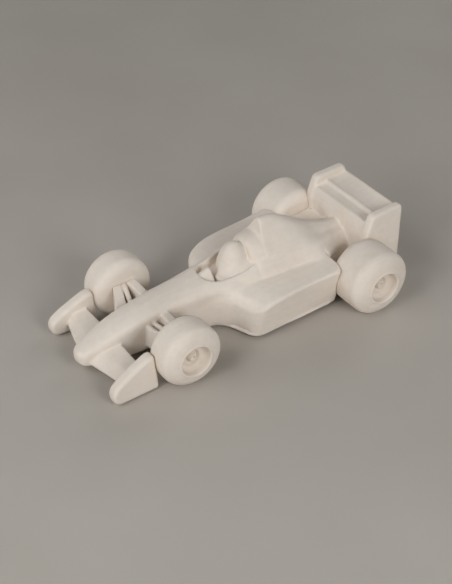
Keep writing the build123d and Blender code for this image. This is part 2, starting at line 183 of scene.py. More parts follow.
# x, bottom y, crease y, crease z, shoulder y, shoulder z, crest y, crest z, crown z
COVER = [
    (-18, 24.4, 23.8, 36.0, 16.6, 47.0, 1.9, 69.7, 70.2), (-24, 25.2, 24.6, 36.0, 17.2, 47.0, 2.6, 69.6, 70.1),
    (-34, 26.6, 26.0, 36.0, 18.8, 46.9, 3.4, 68.6, 69.4), (-41, 27.8, 27.2, 36.4, 20.0, 46.8, 4.2, 65.4, 66.4),
    (-48, 29.2, 28.6, 36.9, 21.2, 46.7, 5.0, 61.4, 62.6), (-54, 30.2, 29.6, 37.6, 22.0, 46.7, 5.8, 57.4, 58.6),
    (-60, 31.0, 30.4, 38.2, 21.8, 46.8, 6.6, 53.2, 54.5), (-66, 30.4, 29.4, 38.2, 19.2, 45.7, 6.6, 49.6, 50.9),
    (-72, 26.6, 25.4, 36.6, 16.0, 43.8, 6.0, 46.8, 48.0), (-78, 23.0, 21.8, 35.4, 13.2, 42.1, 5.2, 44.9, 45.9),
    (-84, 20.2, 18.8, 34.0, 11.2, 40.8, 4.6, 43.6, 44.5), (-95, 17.4, 15.8, 31.6, 9.4, 39.2, 4.0, 42.2, 43.3),
    (-100, 17.4, 15.8, 31.6, 9.4, 39.0, 4.0, 42.0, 43.1),
]
# x, bottom y, side y, side z, edge y, edge z, z at the body
POD = [
    (40, 37.0, 37.4, 9.0, 39.2, 13.0, 21.0), (20, 39.4, 40.2, 11.0, 42.2, 21.6, 29.0), (6, 41.0, 42.2, 12.0, 45.2, 26.8, 33.6),
    (0, 41.8, 43.0, 12.6, 46.5, 29.6, 34.4), (-6, 42.0, 43.3, 13.0, 47.1, 31.9, 35.1), (-12, 42.0, 43.4, 13.4, 47.4, 33.3, 35.6),
    (-22, 41.8, 43.5, 14.0, 47.5, 34.8, 35.9), (-42, 40.6, 43.6, 15.0, 47.7, 36.3, 36.8),
    (-56, 40.5, 44.2, 16.0, 48.7, 37.6, 38.4), (-66, 40.4, 44.8, 17.0, 49.9, 39.1, 39.6), (-72, 40.4, 45.2, 17.0, 50.5, 39.7, 40.2),
]


# ------------------------------------------------------------------ component fields
def central():
    W = Win(-100, 127, 0, 34, 3.5, 71)
    x = W.x[:, 0, 0]
    wb, zb, wt, ze, wr, zr, zc = [c[:, None, None] for c in table(NOSE_TUB, x, 2.5)]
    pts = [(-wb, zb), (wb, zb), (wt, ze), (wr, zr), (wr * 0, zc), (-wr, zr), (-wt, ze)]
    soft = np.interp(x, [-40, 20, 40, 60, 110, 127], [5.0, 4.0, 5.0, 4.6, 4.0, 3.8])[:, None, None].astype(f32)
    tub = poly(W.y, W.z, soften(pts, [2.5, 2.5, soft, soft * 0.8, 0, soft * 0.8, soft]))
    tub = even(np.broadcast_to(tub, W.shape))
    tub = iround(tub, W.full(W.x - 126.0 + 0.045 * W.y ** 2), 3.0)
    tub = np.maximum(tub, -36 - W.x)
    wb, yc, zc, ys, zs, yt, zt, ztop = [c[:, None, None] for c in table(COVER, x, 2.5)]
    sag = np.interp(x, [-95, -60, -35, -20], [0.9, 1.5, 0.8, 0.2])[:, None, None].astype(f32)
    sh = np.interp(x, [-95, -66, -50, -35], [1.6, 2.2, 5.0, 7.0])[:, None, None].astype(f32)      # how soft the shoulder is
    ym, zm = ys * 0.52 + yt * 0.48 - sag * 0.8, zs * 0.52 + zt * 0.48 - sag * 0.6
    yl, zl = (yc + ys) / 2 - sag * 0.8, (zc + zs) / 2 - sag * 0.7
    pts = [(-wb, 4.0), (wb, 4.0), (yc, zc), (yl, zl), (ys, zs), (ym, zm), (yt, zt), (yt * 0, ztop),
           (-yt, zt), (-ym, zm), (-ys, zs), (-yl, zl), (-yc, zc)]
    cov = poly(W.y, W.z, soften(pts, [0, 0, 2.0, 6.0, sh, 9.0, 3.0, 0, 3.0, 9.0, sh, 6.0, 2.0], 3))
    cov = even(np.broadcast_to(cov, W.shape))
    # the airbox's face leans back; below the rim the cover runs on forward inside the tub, so it shows no edge
    face = (W.x - (BULK - 0.16 * np.maximum(W.z - AIRBOX_Z, 0) + 8.0 * ease(-W.z, -48.5, -44.5)))
    cov = iround(cov, W.full(face), 0.9)
    return W, tub, np.maximum(cov, W.full(-96.5 - W.x))


def pod(fore=0.0):
    W = Win(-74, 40, 8, 52, 3.5, 42)
    x = W.x[:, 0, 0]
    yb, yd, zd, ye, ze, zi = [c[:, None, None] for c in table(POD, x, 2.0)]
    one = yb * 0
    low = one + np.interp(x, [-62, 0], [3.9, 2.4])[:, None, None].astype(f32)
    pts = [(one + 4, low), (yb, low), (yd, zd), (ye, ze), (one + 21, zi), (one + 4, zi)]
    sec = even(np.broadcast_to(poly(W.y, W.z, soften(pts, [0, 1.2, 4.0, 3.2, 5.0, 0])), W.shape))
    plan = [(POD_REAR - 0.6, 0), (34.5, 0), (34.5, 8.6), (28.0, 10.4), (22.2, 13.0), (16.4, 17.6), (12.6, 23.8), (10.2, 30.2), (7.4, 37.4), (5.0, 46.0), (4.6, 60.0), (-57.0, 60.0), (-61.2, 50.4), (POD_REAR - 0.6, 43.6)]
    xf = W.x - fore * ease(W.x + 0 * W.y, -30, 4)
    pl = poly(xf, W.full(W.y), soften(plan, [0, 0, 3, 5, 5, 5, 5, 5, 4, 0, 0, 0, 4, 5]))
    rnd = (2.6 + 3.4 * ease(W.x + 0 * W.y, -14, 8)).astype(f32)
    return W, iround(sec, W.full(pl), rnd)


def floor_lip():
    W = Win(-74, 60, 0, 46, 2, 7)
    plan = [(-95, 0), (54, 0), (54, 11.8), (36, 12.6), (28, 12.6), (23.6, 13.0), (18.6, 16.0), (14.4, 22.2), (11.3, 29.8), (8.4, 37.4), (5.4, 40.6), (1, 41.7), (-30, 41.7), (-60, 40.9), (POD_REAR - 0.5, 38.0), (POD_REAR - 0.5, 30.0), (-95, 18)]
    mid = np.interp(W.x[:, 0, 0], [-62, 0], [5.0, 3.7])[:, None, None].astype(f32)
    return W, iround(W.full(poly(W.x, W.y, soften(plan, [0, 0, 0, 4, 3, 2, 3, 3, 3, 3, 3, 3, 0, 3, 0, 0, 0]))), W.full(np.abs(W.z - mid) - 1.1), 0.9)


def tyre_field(d):
    zc = d["R"] - FOOT
    W = Win(d["x"] - d["R"], d["x"] + d["R"], d["y0"], d["y1"], 0, 2 * d["R"])
    r = np.sqrt((W.x - d["x"]) ** 2 + (W.z - zc) ** 2)
    sec = [(d["y0"] - 30.0, 0.0), (d["y0"] - 30.0, d["R"])] + [(d["y1"] - a, d["R"] - b) for a, b in d["out"]] + [(d["y1"], 8.0), (d["y1"], 0.0)]
    body = poly(W.full(W.y), W.full(r), [(a, b) for a, b in ccw(sec)])
    return W, iround(body, W.full(d["y0"] - W.y), d["inn"])


def end_plate():
    W = Win(86, 125, 38, 49, 0.5, 32)
    y = W.y - (W.x - 91.0) / 33.0 * 1.6 + 0.4 * ((W.z - 16) / 16)
    pts = ccw([(123.8, 8.6), (122.6, 13.4), (115.4, 18.6), (106.0, 23.6), (99.0, 27.0), (94.4, 29.0), (90.6, 28.8), (89.4, 22.0), (88.4, 11.0), (87.8, 0.6), (118.8, 0.5), (122.8, 3.2)])
    s = poly(W.x, W.z, soften(pts, [5, 4, 5, 5, 4, 2, 2.2, 4, 4, 1.6, 5, 5][::1 if pts[0][0] == 123.8 else -1]))
    return W, iround(W.full(s), W.full(np.abs(y - 42.3) - 4.4), 2.7)


def front_wing():
    W = Win(96, 120, 6, 45, 7, 21)
    y = W.y
    lead = 119.6 - (y - 9) * 0.257
    one = lead * 0
    tz = 18.6 - (y - 17) * 0.03
    pts = [(lead - 1.0, one + 7.6), (lead + 0.3, one + 9.4), (lead - 3.6, one + 12.8), (lead * 0.42 + 60.0, one + 16.0), (one + 102.5, tz - 0.9),
           (one + 96.7, tz + 0.1), (one + 96.3, tz - 2.4), (one + 104, one + 10.6)]
    s = even(np.broadcast_to(poly(W.x, W.z, soften(pts, [1.6, 1.8, 5.0, 6.0, 5.0, 0.6, 0.9, 5.0])), W.shape))
    return W, np.maximum(s, W.full(np.abs(y - 24) - 20.0))


def arm(plan, top, z0, r=1.0):
    """A web with a plan outline and a sloping top: top is z at y=13, z at y=34, the slope along x and where it starts."""
    plan = ccw(plan)
    xs = [p[0] for p in plan]; ys = [p[1] for p in plan]
    W = Win(min(xs), max(xs), min(ys), max(ys), z0, max(top[:2]) + 2)
    pl = poly(W.x, W.y, plan)
    zt = top[0] + (top[1] - top[0]) * (W.y - 13) / 21 + top[2] * (W.x - top[3])
    f = iround(W.full(pl), W.full((W.z - zt) * 0.97), r)
    return W, iround(f, W.full(z0 - W.z), r)


def side_plate(pts, y0, y1, rc, re):
    p2 = ccw(pts)
    rr = list(rc) if isinstance(rc, (list, tuple)) else [rc] * len(pts)
    rr = rr if p2[0] == pts[0] and p2[1] == pts[1] else rr[::-1]
    xs = [p[0] for p in p2]; zs = [p[1] for p in p2]
    W = Win(min(xs), max(xs), max(y0, 0), y1, min(zs), max(zs))
    s = poly(W.x, W.z, soften(p2, rr))
    return W, iround(W.full(s), W.full(np.maximum(y0 - W.y, W.y - y1)), re)


CW, TUB_F, COV_F = central()

# cockpit well: plan outline, deeper than the rim
well_side = [(26.4, 0), (25.4, 4.6), (23.8, 8.0), (20.0, 10.8), (16.0, 12.0), (12.0, 12.7), (8.0, 13.5), (4.0, 14.4), (0.0, 15.2),
             (-6.0, 15.2), (-12.0, 13.6), (-16.0, 12.0)]
WELL = ccw(well_side + [(x, -y) for x, y in well_side[:0:-1]])
well_plan = poly(CW.x, CW.y, WELL)
well = np.maximum(CW.full(well_plan), CW.full(32.0 - CW.z))
tub = iround(TUB_F, -well, 1.3)
# headrest: a hoop turned about X, bevelled towards the helmet
hr = np.sqrt(CW.y ** 2 + (1.16 * np.maximum(CW.z - HEAD, 0)) ** 2)
hoop_pts = ccw([(-32.0, 0), (-32.0, 12.0), (-24.0, 15.7), (-18.5, 15.6), (-12.6, 14.2), (-9.8, 11.9), (-9.8, 0)])
hoop = even(poly(CW.full(CW.x), CW.full(hr), soften(hoop_pts, [0, 0, 5, 4, 3, 1.6, 0][::1 if hoop_pts[0] == (-32.0, 0) else -1])))
hoop = np.maximum(CW.full(hoop), CW.full(26.0 - CW.z))

# helmet: a smooth egg that widens down to the rim
hx = (CW.x + 2.6); hz = np.maximum(CW.z - 34.0, 0)
rx, ry, rz = np.where(hx > 0, 12.8, 12.4), 11.9, 23.5
k0 = np.sqrt((hx / rx) ** 2 + (CW.y / ry) ** 2 + (hz / rz) ** 2)
k1 = np.sqrt((hx / rx ** 2) ** 2 + (CW.y / ry ** 2) ** 2 + (hz / rz ** 2) ** 2) + 1e-6
helmet = np.maximum(k0 * (k0 - 1) / k1, 31.0 - CW.z)

# the driver's near shoulder fills the well beside the helmet, up to just under the rim
rim_z = np.interp(CW.x[:, 0, 0], [-14, -6, 0, 8, 16, 20], [45.0, 43.9, 42.5, 40.5, 38.6, 37.2])[:, None, None].astype(f32)
skirt = np.maximum(CW.full(well_plan + 1.0 - 1.6 * ease(-CW.x, 6, 12)), CW.full(np.maximum(CW.x - 15.2, 2.4 - CW.y)))
skirt = iround(skirt, CW.full((CW.z - rim_z + 1.1) * 0.95), 0.8)
skirt = np.maximum(skirt, CW.full(31.0 - CW.z))

# dash: a roof-shaped wedge with an upright back edge
dash = iround(CW.full((CW.z - 50.2 + 0.44 * np.maximum(CW.x - 17.4, 0) + 1.6 * np.sqrt(CW.y ** 2 + 12.0)) * 0.52), CW.full(16.9 - CW.x), 2.0)
dash = iround(dash, CW.full(well_plan + 0.6), 0.6)
dash = np.maximum(dash, CW.full(31.0 - CW.z))

Wp, PODF = pod()
PODR = pod(4.0)[1]                       # the right pod reaches a little further forward
Wf, FLF = floor_lip()
M = np.full(N, BIG, f32)                 # the body shell, that planes divide
M[CW.s] = np.minimum(TUB_F, COV_F)
MT = np.full(N, BIG, f32); MT[CW.s] = TUB_F
for q in (M, MT):
    q[Wp.s] = np.minimum(q[Wp.s], PODF)
    q[Wf.s] = np.minimum(q[Wf.s], FLF)

B = np.full(N, BIG, f32)
B[CW.s] = uround(uround(tub, COV_F, 1.6), hoop, 2.2)
fil = (0.5 + 8.6 * ease(Wp.x, -6, 18)).astype(f32)          # a tight crease by the cover, a wide hollow in front
low = B[Wp.s]
B[Wp.s] = uround(low, PODF, fil)
line = np.sqrt(low ** 2 + PODF ** 2) - 1.0 * ease(-Wp.x, -2, 20)      # a fine line along that crease
B[Wp.s] = np.maximum(B[Wp.s], -line)
B[Wf.s] = uround(B[Wf.s], FLF, 0.3)
B[CW.s] = uround(B[CW.s], CW.full(helmet), 0.7)
B[CW.s] = uround(B[CW.s], dash, 0.8)
# the wide hollow must not run into the opening
B[CW.s] = np.maximum(B[CW.s], np.minimum(-well, np.minimum(np.minimum(CW.full(helmet), dash), hoop)) - 0.4)

# rear arm: a web between the cover, the block and the tyre, a ledge on the right and lower on the left
REAR_ARM = {-1: side_plate([(-97, 6), (-97, 35.6), (-90.0, 34.2), (-82.0, 33.6), (-75.0, 33.0), (-71.6, 29.0), (-70.6, 18.0), (-70.6, 6)], 8.0, 38.0, [0, 0, 5, 5, 4, 4, 3, 2], 1.0),
            +1: side_plate([(-97, 6), (-97, 27.0), (-90.0, 25.5), (-82.0, 22.0), (-77.0, 16.0), (-75.6, 10.0), (-75.6, 6)], 8.0, 38.0, [0, 0, 5, 5, 4, 3, 2], 1.0)}

Wt1, TY1 = tyre_field(FRONT)
Wt2, TY2 = tyre_field(REAR)
Wep, EP = end_plate()
Wfw, FW = front_wing()
Wre, RE = side_plate([(-95.0, 8.0), (-94.2, 47.5), (-96.4, 55.0), (-99.0, 62.6), (-125.4, 64.0), (-126.6, 61.0), (-126.6, 14.0), (-121.0, 8.0)], 29.4, 36.6, [1, 5, 5, 3.2, 3.2, 3, 5, 4], 1.9)
Wpy, PY = side_plate([(-95.0, 4.0), (-95.0, 44.0), (-96.2, 50.0), (-97.0, 52.4), (-121.5, 52.0), (-113.0, 40.0), (-113.0, 4.0)], -40.0, 33.0, [0, 6, 4, 1, 0, 4, 0], 0.5)
Wmp, MP = side_plate([(-96.3, 49.0), (-97.4, 55.1), (-102.0, 54.7), (-106.3, 55.5), (-107.3, 57.7), (-108.4, 57.7), (-109.4, 56.4), (-109.4, 48.0)], -40.0, 33.0, [1.0, 1.5, 3, 0.9, 0.5, 0.5, 0, 0], 0.5)
Wfl, FL = side_plate([(-107.6, 50.0), (-107.7, 57.7), (-108.3, 58.0), (-110.2, 57.3), (-116.0, 57.0), (-122.0, 58.2), (-125.6, 60.3), (-126.5, 60.0), (-126.6, 58.4), (-121.5, 50.0)], -40.0, 33.0, [0, 0.4, 0.5, 2, 5, 5, 0.6, 0.4, 1.2, 3], 0.5)
Wgb, GB = side_plate([(-112.0, 6.0), (-112.0, 33.0), (-119.0, 30.6), (-123.0, 24.6), (-123.0, 11.0), (-119.0, 6.0)], -40.0, 10.0, [0, 0, 4, 4, 4, 4], 2.0)
TAILF = np.full(N, BIG, f32)
for Wq, q, r in ((Wpy, PY, 0), (Wmp, MP, 0.8), (Wfl, FL, 0.6), (Wgb, GB, 2.0)):
    TAILF[Wq.s] = uround(TAILF[Wq.s], q, r) if r else np.minimum(TAILF[Wq.s], q)
TAILF[Wre.s] = uround(TAILF[Wre.s], RE, 1.0)

#   name, plan on the left, plan on the right, top, bottom z
ARMS = [
    ("forward_arm", [(73.9, 9), (77.4, 9), (77.2, 13.0), (76.7, 23.0), (75.8, 37), (69.3, 37), (70.8, 30.5), (73.9, 25.0)],
     [(76.6, 9), (88.4, 9), (87.2, 13.0), (81.2, 23.0), (75.8, 37), (69.6, 37), (70.8, 33.0), (75.6, 17.0)], (26.0, 30.9, -0.05, 76.0), 8.0),
    ("pushrod", [(69.4, 9), (71.8, 9), (71.6, 24.0), (69.9, 37), (66.6, 37), (68.6, 29.0)],
     [(72.4, 9), (74.9, 9), (74.0, 17.0), (69.9, 34.0), (69.9, 37), (66.6, 37), (67.2, 31.0)], (27.0, 31.2, 0.0, 72.0), 21.0),
    ("rearward_arm", [(59.2, 9), (65.4, 9), (65.8, 30), (67.0, 37), (59.0, 37)],
     [(59.2, 9), (65.4, 9), (65.8, 30), (67.0, 37), (59.0, 37)], (31.6, 31.0, -0.04, 63.0), 9.0),
]


def blur(a, s):
    """Gaussian blur of a half field; it is even about y = 0."""
    n = max(int(math.ceil(3 * s)), 1)
    k = np.exp(-0.5 * (np.arange(-n, n + 1) / s) ** 2); k = (k / k.sum()).astype(f32)
    for ax in range(3):
        pad = [(0, 0)] * 3; pad[ax] = (n, n)
        p = np.pad(a, pad, mode="reflect" if ax == 1 else "edge")
        if ax == 1:                                  # only the low side is a mirror plane
            p[:, -n:, :] = a[:, -1:, :]
        o = np.zeros_like(a)
        for i, w in enumerate(k):
            sl = [slice(None)] * 3; sl[ax] = slice(i, i + a.shape[ax])
            o += w * p[tuple(sl)]
        a = o
    return a


SIDE_NAMES = ["side_pod", "front_wing", "front_end_plate", "rear_end_plate", "forward_arm", "pushrod", "rearward_arm", "rear_arm"]
MID_NAMES = ["nose_cone", "cockpit_tub", "engine_cover", "airbox", "floor_plate", "driver_helmet", "headrest", "dash_cowl",
             "rear_wing_pylon", "rear_wing_mainplane", "rear_wing_flap", "gearbox_tail"]
NAMES = MID_NAMES + SIDE_NAMES


def half(side):
    """One side's surface field, and which piece each point belongs to."""
    G = B.copy()
    if side < 0:
        G[Wp.s] = uround(G[Wp.s], PODR, 0.5)
    Wa4, ARM4 = REAR_ARM[side]
    G[Wa4.s] = uround(G[Wa4.s], ARM4, 1.2)
    arms = {}
    for name, left, right, top, z0 in ARMS:
        Wa, f = arm(left if side > 0 else right, top, z0, 0.8)
        arms[name] = (Wa, f)
        G[Wa.s] = uround(G[Wa.s], f, 0.6)
    if side > 0:
        G[CW.s] = uround(G[CW.s], np.maximum(uround(skirt, CW.full(helmet), 5.0), CW.full(well_plan + 0.2)), 0.5)
    G[Wfw.s] = uround(G[Wfw.s], FW, 1.2)
    G[Wep.s] = uround(G[Wep.s], EP, 1.0)
    G = uround(G, TAILF, 0.5)
    for Wt, TY in ((Wt1, TY1), (Wt2, TY2)):           # pieces stop at the tyres, with a fine groove
        G[Wt.s] = iround(G[Wt.s], -TY, 0.45)
    Wh = Win(-54, -26, 0, 14, 3, 25)                  # pour hole and the cavity over it
    rr = np.sqrt((Wh.x + 40.0) ** 2 + Wh.y ** 2)
    hole = np.maximum(Wh.full(rr - 6.0), Wh.full(Wh.z - 8.0))
    cav = iround(Wh.full(rr - 11.0), Wh.full(np.abs(Wh.z - 15.5) - 8.5), 3.0)
    G[Wh.s] = iround(G[Wh.s], -uround(hole, cav, 1.0), 0.8)
    F = blur(np.clip(G, -BIG, BIG), 0.5 / H)
    F = np.maximum(F, -GZ[None, None, :])             # nothing is under the ground
    for Wt, TY in ((Wt1, TY1), (Wt2, TY2)):
        F[Wt.s] = np.maximum(F[Wt.s], 0.02 - TY)
    # ownership
    X, Y, Z = GX[:, None, None], GY[None, :, None], GZ[None, None, :]
    def shell(*walls, f=M):
        for w in walls:
            f = f + 2 * np.maximum(w, 0)
        return f
    box = np.maximum(np.maximum(X + 21.0 - 60, -30.0 - X), AIRBOX_Z - Z)      # airbox: x over -30, z over its foot
    fields = {
        "nose_cone": shell(NOSE_CUT - X, FLOOR - Z - 60),
        "cockpit_tub": shell(X - NOSE_CUT, BULK - X, Y - SPLIT, FLOOR - Z, f=MT),
        "engine_cover": shell(X - BULK, TAIL - X, Y - SPLIT, FLOOR - Z, -box),
        "airbox": shell(X - BULK, box),
        "floor_plate": shell(X - NOSE_CUT, TAIL - X, Z - FLOOR),
        "side_pod": shell(X - 40.0, POD_REAR - 1.5 - X, SPLIT - Y, FLOOR - Z),
    }
    def put(name, W, f, *walls):
        for w in walls:
            f = f + 2 * np.maximum(w, 0)
        fields[name] = (W, f)
    put("driver_helmet", CW, np.minimum(CW.full(helmet), skirt) if side > 0 else CW.full(helmet))
    put("headrest", CW, hoop, CW.full(BULK - CW.x))
    put("dash_cowl", CW, dash)
    put("rear_wing_pylon", Wpy, PY, Wpy.z - 50.0, -113.0 - Wpy.x)
    put("rear_wing_mainplane", Wmp, MP, 50.0 - Wmp.z, -108.0 - Wmp.x)
    put("rear_wing_flap", Wfl, FL, 50.0 - Wfl.z, Wfl.x + 108.0)
    put("gearbox_tail", Wgb, GB, Wgb.x + 113.0)
    put("rear_end_plate", Wre, RE)
    put("front_wing", Wfw, FW)
    put("front_end_plate", Wep, EP)
    put("rear_arm", Wa4, ARM4)
    for name, (Wa, f) in arms.items():
        put(name, Wa, f)
    best = np.full(N, 3 * BIG, f32); second = best.copy(); third = best.copy(); label = np.full(N, -1, np.int8)
    for i, name in enumerate(NAMES):
        v = fields[name]
        if isinstance(v, tuple):
            s, f = v[0].s, v[1]
        else:
            s, f = (slice(None),) * 3, v
        b, c, l = best[s], second[s], label[s]
        win = f < b
        third[s] = np.minimum(third[s], np.maximum(c, f))
        second[s] = np.where(win, b, np.minimum(c, f))
        best[s] = np.where(win, f, b)
        label[s] = np.where(win, i, l)
    return F, fields, best, second, label, third


def own(i, data, s):
    """Signed field of piece i's territory in a window, negative inside."""
    F, fields, best, second, label, third = data
    v = fields[NAMES[i]]
    if isinstance(v, tuple):
        f = np.full(N, 3 * BIG, f32); f[v[0].s] = v[1]; f = f[s]
    else:
        f = v[s]
    corner = np.clip(1 - (third[s] - best[s]) / 0.9, 0, 1)          # where three pieces meet they overlap a little
    return np.where(label[s] == i, best[s] - second[s], f - best[s]) * 0.5 - 0.2 * corner


# ------------------------------------------------------------------ sampling and meshing
def sample(A, org, P):
    """Trilinear value of a grid at points in mm."""
    q = np.clip((P - org) / H, 0, np.array(A.shape) - 1.001)
    i = np.floor(q).astype(np.int64); t = (q - i).astype(f32)
    out = 0
    for dx in (0, 1):
        wx = t[:, 0] if dx else 1 - t[:, 0]
        for dy in (0, 1):
            wy = t[:, 1] if dy else 1 - t[:, 1]
            for dz in (0, 1):
                wz = t[:, 2] if dz else 1 - t[:, 2]
                out = out + wx * wy * wz * A[i[:, 0] + dx, i[:, 1] + dy, i[:, 2] + dz]
    return out


def grad(A, org, P, e=None):
    e = e or H * 0.8
    g = np.empty((len(P), 3), f32)
    for ax in range(3):
        d = np.zeros(3); d[ax] = e
        g[:, ax] = (sample(A, org, P + d) - sample(A, org, P - d)) / (2 * e)
    return g


def surface(A, org):
    """Points and faces of a field's zero surface, in mm."""
    grid = vdb.FloatGrid(background=BIG)
    grid.copyFromArray(np.ascontiguousarray(A), tolerance=0.0)
    pts, tris, quads = grid.convertToPolygons(isovalue=0.0, adaptivity=0.0)
    return pts.astype(np.float64) * H + org, tris, quads


def biggest(n, quads, share=0.05):
    """Keeps the faces of the loose parts that are not tiny."""
    lab = np.arange(n)
    e = np.concatenate([quads[:, [0, 1]], quads[:, [1, 2]], quads[:, [2, 3]], quads[:, [3, 0]]])
    while True:
        m = np.minimum(lab[e[:, 0]], lab[e[:, 1]])
        new = lab.copy()
        np.minimum.at(new, e[:, 0], m); np.minimum.at(new, e[:, 1], m)
        new = new[new]; new = new[new]
        if (new == lab).all():
            break
        lab = new
    f = lab[quads[:, 0]]
    ids, cnt = np.unique(f, return_counts=True)
    keep = ids[cnt >= max(cnt.max() * share, 60)]
    return quads[np.isin(f, keep)], len(keep), len(ids) - len(keep)


def make_object(name, P, faces, normals=None):
    me = bpy.data.meshes.new(name)
    nf = len(faces); k = faces.shape[1]
    me.vertices.add(len(P)); me.vertices.foreach_set("co", (P * 0.001).astype(f32).ravel())
    me.loops.add(nf * k); me.loops.foreach_set("vertex_index", faces.astype(np.int32).ravel())
    me.polygons.add(nf); me.polygons.foreach_set("loop_start", np.arange(0, nf * k, k, dtype=np.int32))
    me.polygons.foreach_set("use_smooth", np.ones(nf, bool))
    me.update(calc_edges=True)
    me.validate()
    if normals is not None and len(me.loops) == nf * k:
        me.normals_split_custom_set(normals.astype(float).tolist())
    ob = bpy.data.objects.new(name, me)
    bpy.context.scene.collection.objects.link(ob)
    return ob


def wobble(P):
    """Slow hand-finished unevenness of the casting, as a push along each axis, mm."""
    x, y, z = P[:, 0], P[:, 1], P[:, 2]
    a = 0.09
    d = np.stack([a * np.sin(0.21 * y + 0.13 * z + 0.7) * np.sin(0.17 * z + 0.05 * x),
                  a * np.sin(0.19 * x + 0.11 * z + 1.9) * np.sin(0.23 * z + 0.3),
                  a * np.sin(0.16 * x + 0.5) * np.sin(0.21 * y + 1.1)], 1)
    d[:, 2] *= np.clip(z / 4, 0, 1)
    return P + d


LAP = 0.25


def piece(name, F, R, org, flip, node):
    """A closed piece: the surface field F inside the territory R. Its seams share their line with the next piece's."""
    R = R - LAP                                      # it runs on a little, just under the next piece's skin
    A = np.maximum(F, R)
    P, tris, quads = surface(A, org)
    if len(quads) == 0:
        print("EMPTY", name); return None
    quads, kept, lost = biggest(len(P), quads)
    used = np.unique(quads); remap = np.full(len(P), -1); remap[used] = np.arange(len(used))
    P = P[used]; quads = remap[quads]
    for it in range(5):
        a, b = sample(F, org, P), sample(R, org, P)
        a = a + 0.05 * np.clip((b + LAP) / 0.12, 0, 1)
        ga, gb = grad(F, org, P), grad(R, org, P)
        na, nb = (ga ** 2).sum(1) + 1e-4, (gb ** 2).sum(1) + 1e-4
        seam = (np.abs(a) < 0.8 * H) & (np.abs(b) < 0.8 * H) if it == 0 else seam
        onF = (a >= b) if it == 0 else onF
        g, v, n2 = np.where(onF[:, None], ga, gb), np.where(onF, a, b), np.where(onF, na, nb)
        step = -g * np.clip(v / n2, -0.4 * H, 0.4 * H)[:, None]
        dot = (ga * gb).sum(1); det = na * nb - dot ** 2
        ok = det > 0.08 * na * nb
        la, lb = (-a * nb + b * dot) / np.maximum(det, 1e-6), (-b * na + a * dot) / np.maximum(det, 1e-6)
        both = ga * la[:, None] + gb * lb[:, None]
        ln = np.sqrt((both ** 2).sum(1)) + 1e-9
        both *= np.minimum(1, 0.9 * H / ln)[:, None]
        P = P + np.where((seam & ok)[:, None], both, step)
    # shading normals: the whole casting's on its surface, the cut's on a cut
    C = P[quads].mean(1)
    face_on = np.abs(sample(F, org, C)) <= np.abs(sample(R, org, C))
    nf, nr = grad(F, org, P), grad(R, org, P)
    nf /= np.linalg.norm(nf, axis=1)[:, None] + 1e-9; nr /= np.linalg.norm(nr, axis=1)[:, None] + 1e-9
    a, b, c, d = (P[quads[:, k]] for k in range(4))
    vol = (np.cross(b - a, c - a) * a).sum() + (np.cross(c - a, d - a) * a).sum()
    q = quads if vol > 0 else quads[:, ::-1]
    L = np.where(face_on[:, None, None], nf[q], nr[q]).reshape(-1, 3)
    if flip:
        P = P * np.array([1, -1, 1]); L = L * np.array([1, -1, 1]); q = q[:, ::-1]; L = L.reshape(-1, 4, 3)[:, ::-1].reshape(-1, 3)
    P = wobble(P)
    ob = make_object(name, P, q, L)
    STATS.append((name, len(q) * 2, kept, lost))
    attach(ob, "root"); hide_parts(node)
    FORMS.append(ob)
    return ob


STATS, FORMS = [], []


def window_of(mask, m=3):
    out = []
    for ax in range(3):
        v = np.flatnonzero(mask.any(axis=tuple(a for a in range(3) if a != ax)))
        out.append(slice(max(v[0] - m, 0), min(v[-1] + m + 1, mask.shape[ax])))
    return tuple(out)


sides = {+1: half(+1), -1: half(-1)}
for i, name in enumerate(NAMES):
    if name in SIDE_NAMES:
        for side, word in ((1, "left"), (-1, "right")):
            D = sides[side]
            s = window_of((D[4] == i) & (D[0] < H))
            F, R = D[0][s], own(i, D, s)
            if s[1].start == 0:
                s0 = s
            org = np.array([GX[s[0].start], GY[s[1].start], GZ[s[2].start]], float)
            node = {"forward_arm": "front_%s_forward_arm", "pushrod": "front_%s_pushrod", "rearward_arm": "front_%s_rearward_arm", "rear_arm": "rear_%s_arm",
                    "side_pod": "%s_side_pod", "front_wing": "front_wing_%s", "front_end_plate": "%s_front_end_plate",
                    "rear_end_plate": "%s_rear_end_plate"}[name] % word
            piece(node + "_form", F, R, org, side < 0, node)
    else:
        ml = (sides[1][4] == i) & (sides[1][0] < H); mr = (sides[-1][4] == i) & (sides[-1][0] < H)
        s = window_of(ml | mr)
        s = (s[0], slice(0, s[1].stop), s[2])
        parts = []
        for side in (-1, 1):
            D = sides[side]
            parts.append((D[0][s], own(i, D, s)))
        F = np.concatenate([parts[0][0][:, :0:-1], parts[1][0]], 1)
        R = np.concatenate([parts[0][1][:, :0:-1], parts[1][1]], 1)
        org = np.array([GX[s[0].start], -GY[s[1].stop - 1], GZ[s[2].start]], float)
        piece(name + "_form", F, R, org, False, name)


# ------------------------------------------------------------------ tyres and wheels, turned
def arc(cy, cr, rad, a0, a1, n):
    t = np.radians(np.linspace(a0, a1, n + 1))
    return [(cy + rad * math.cos(a), cr + rad * math.sin(a)) for a in t]


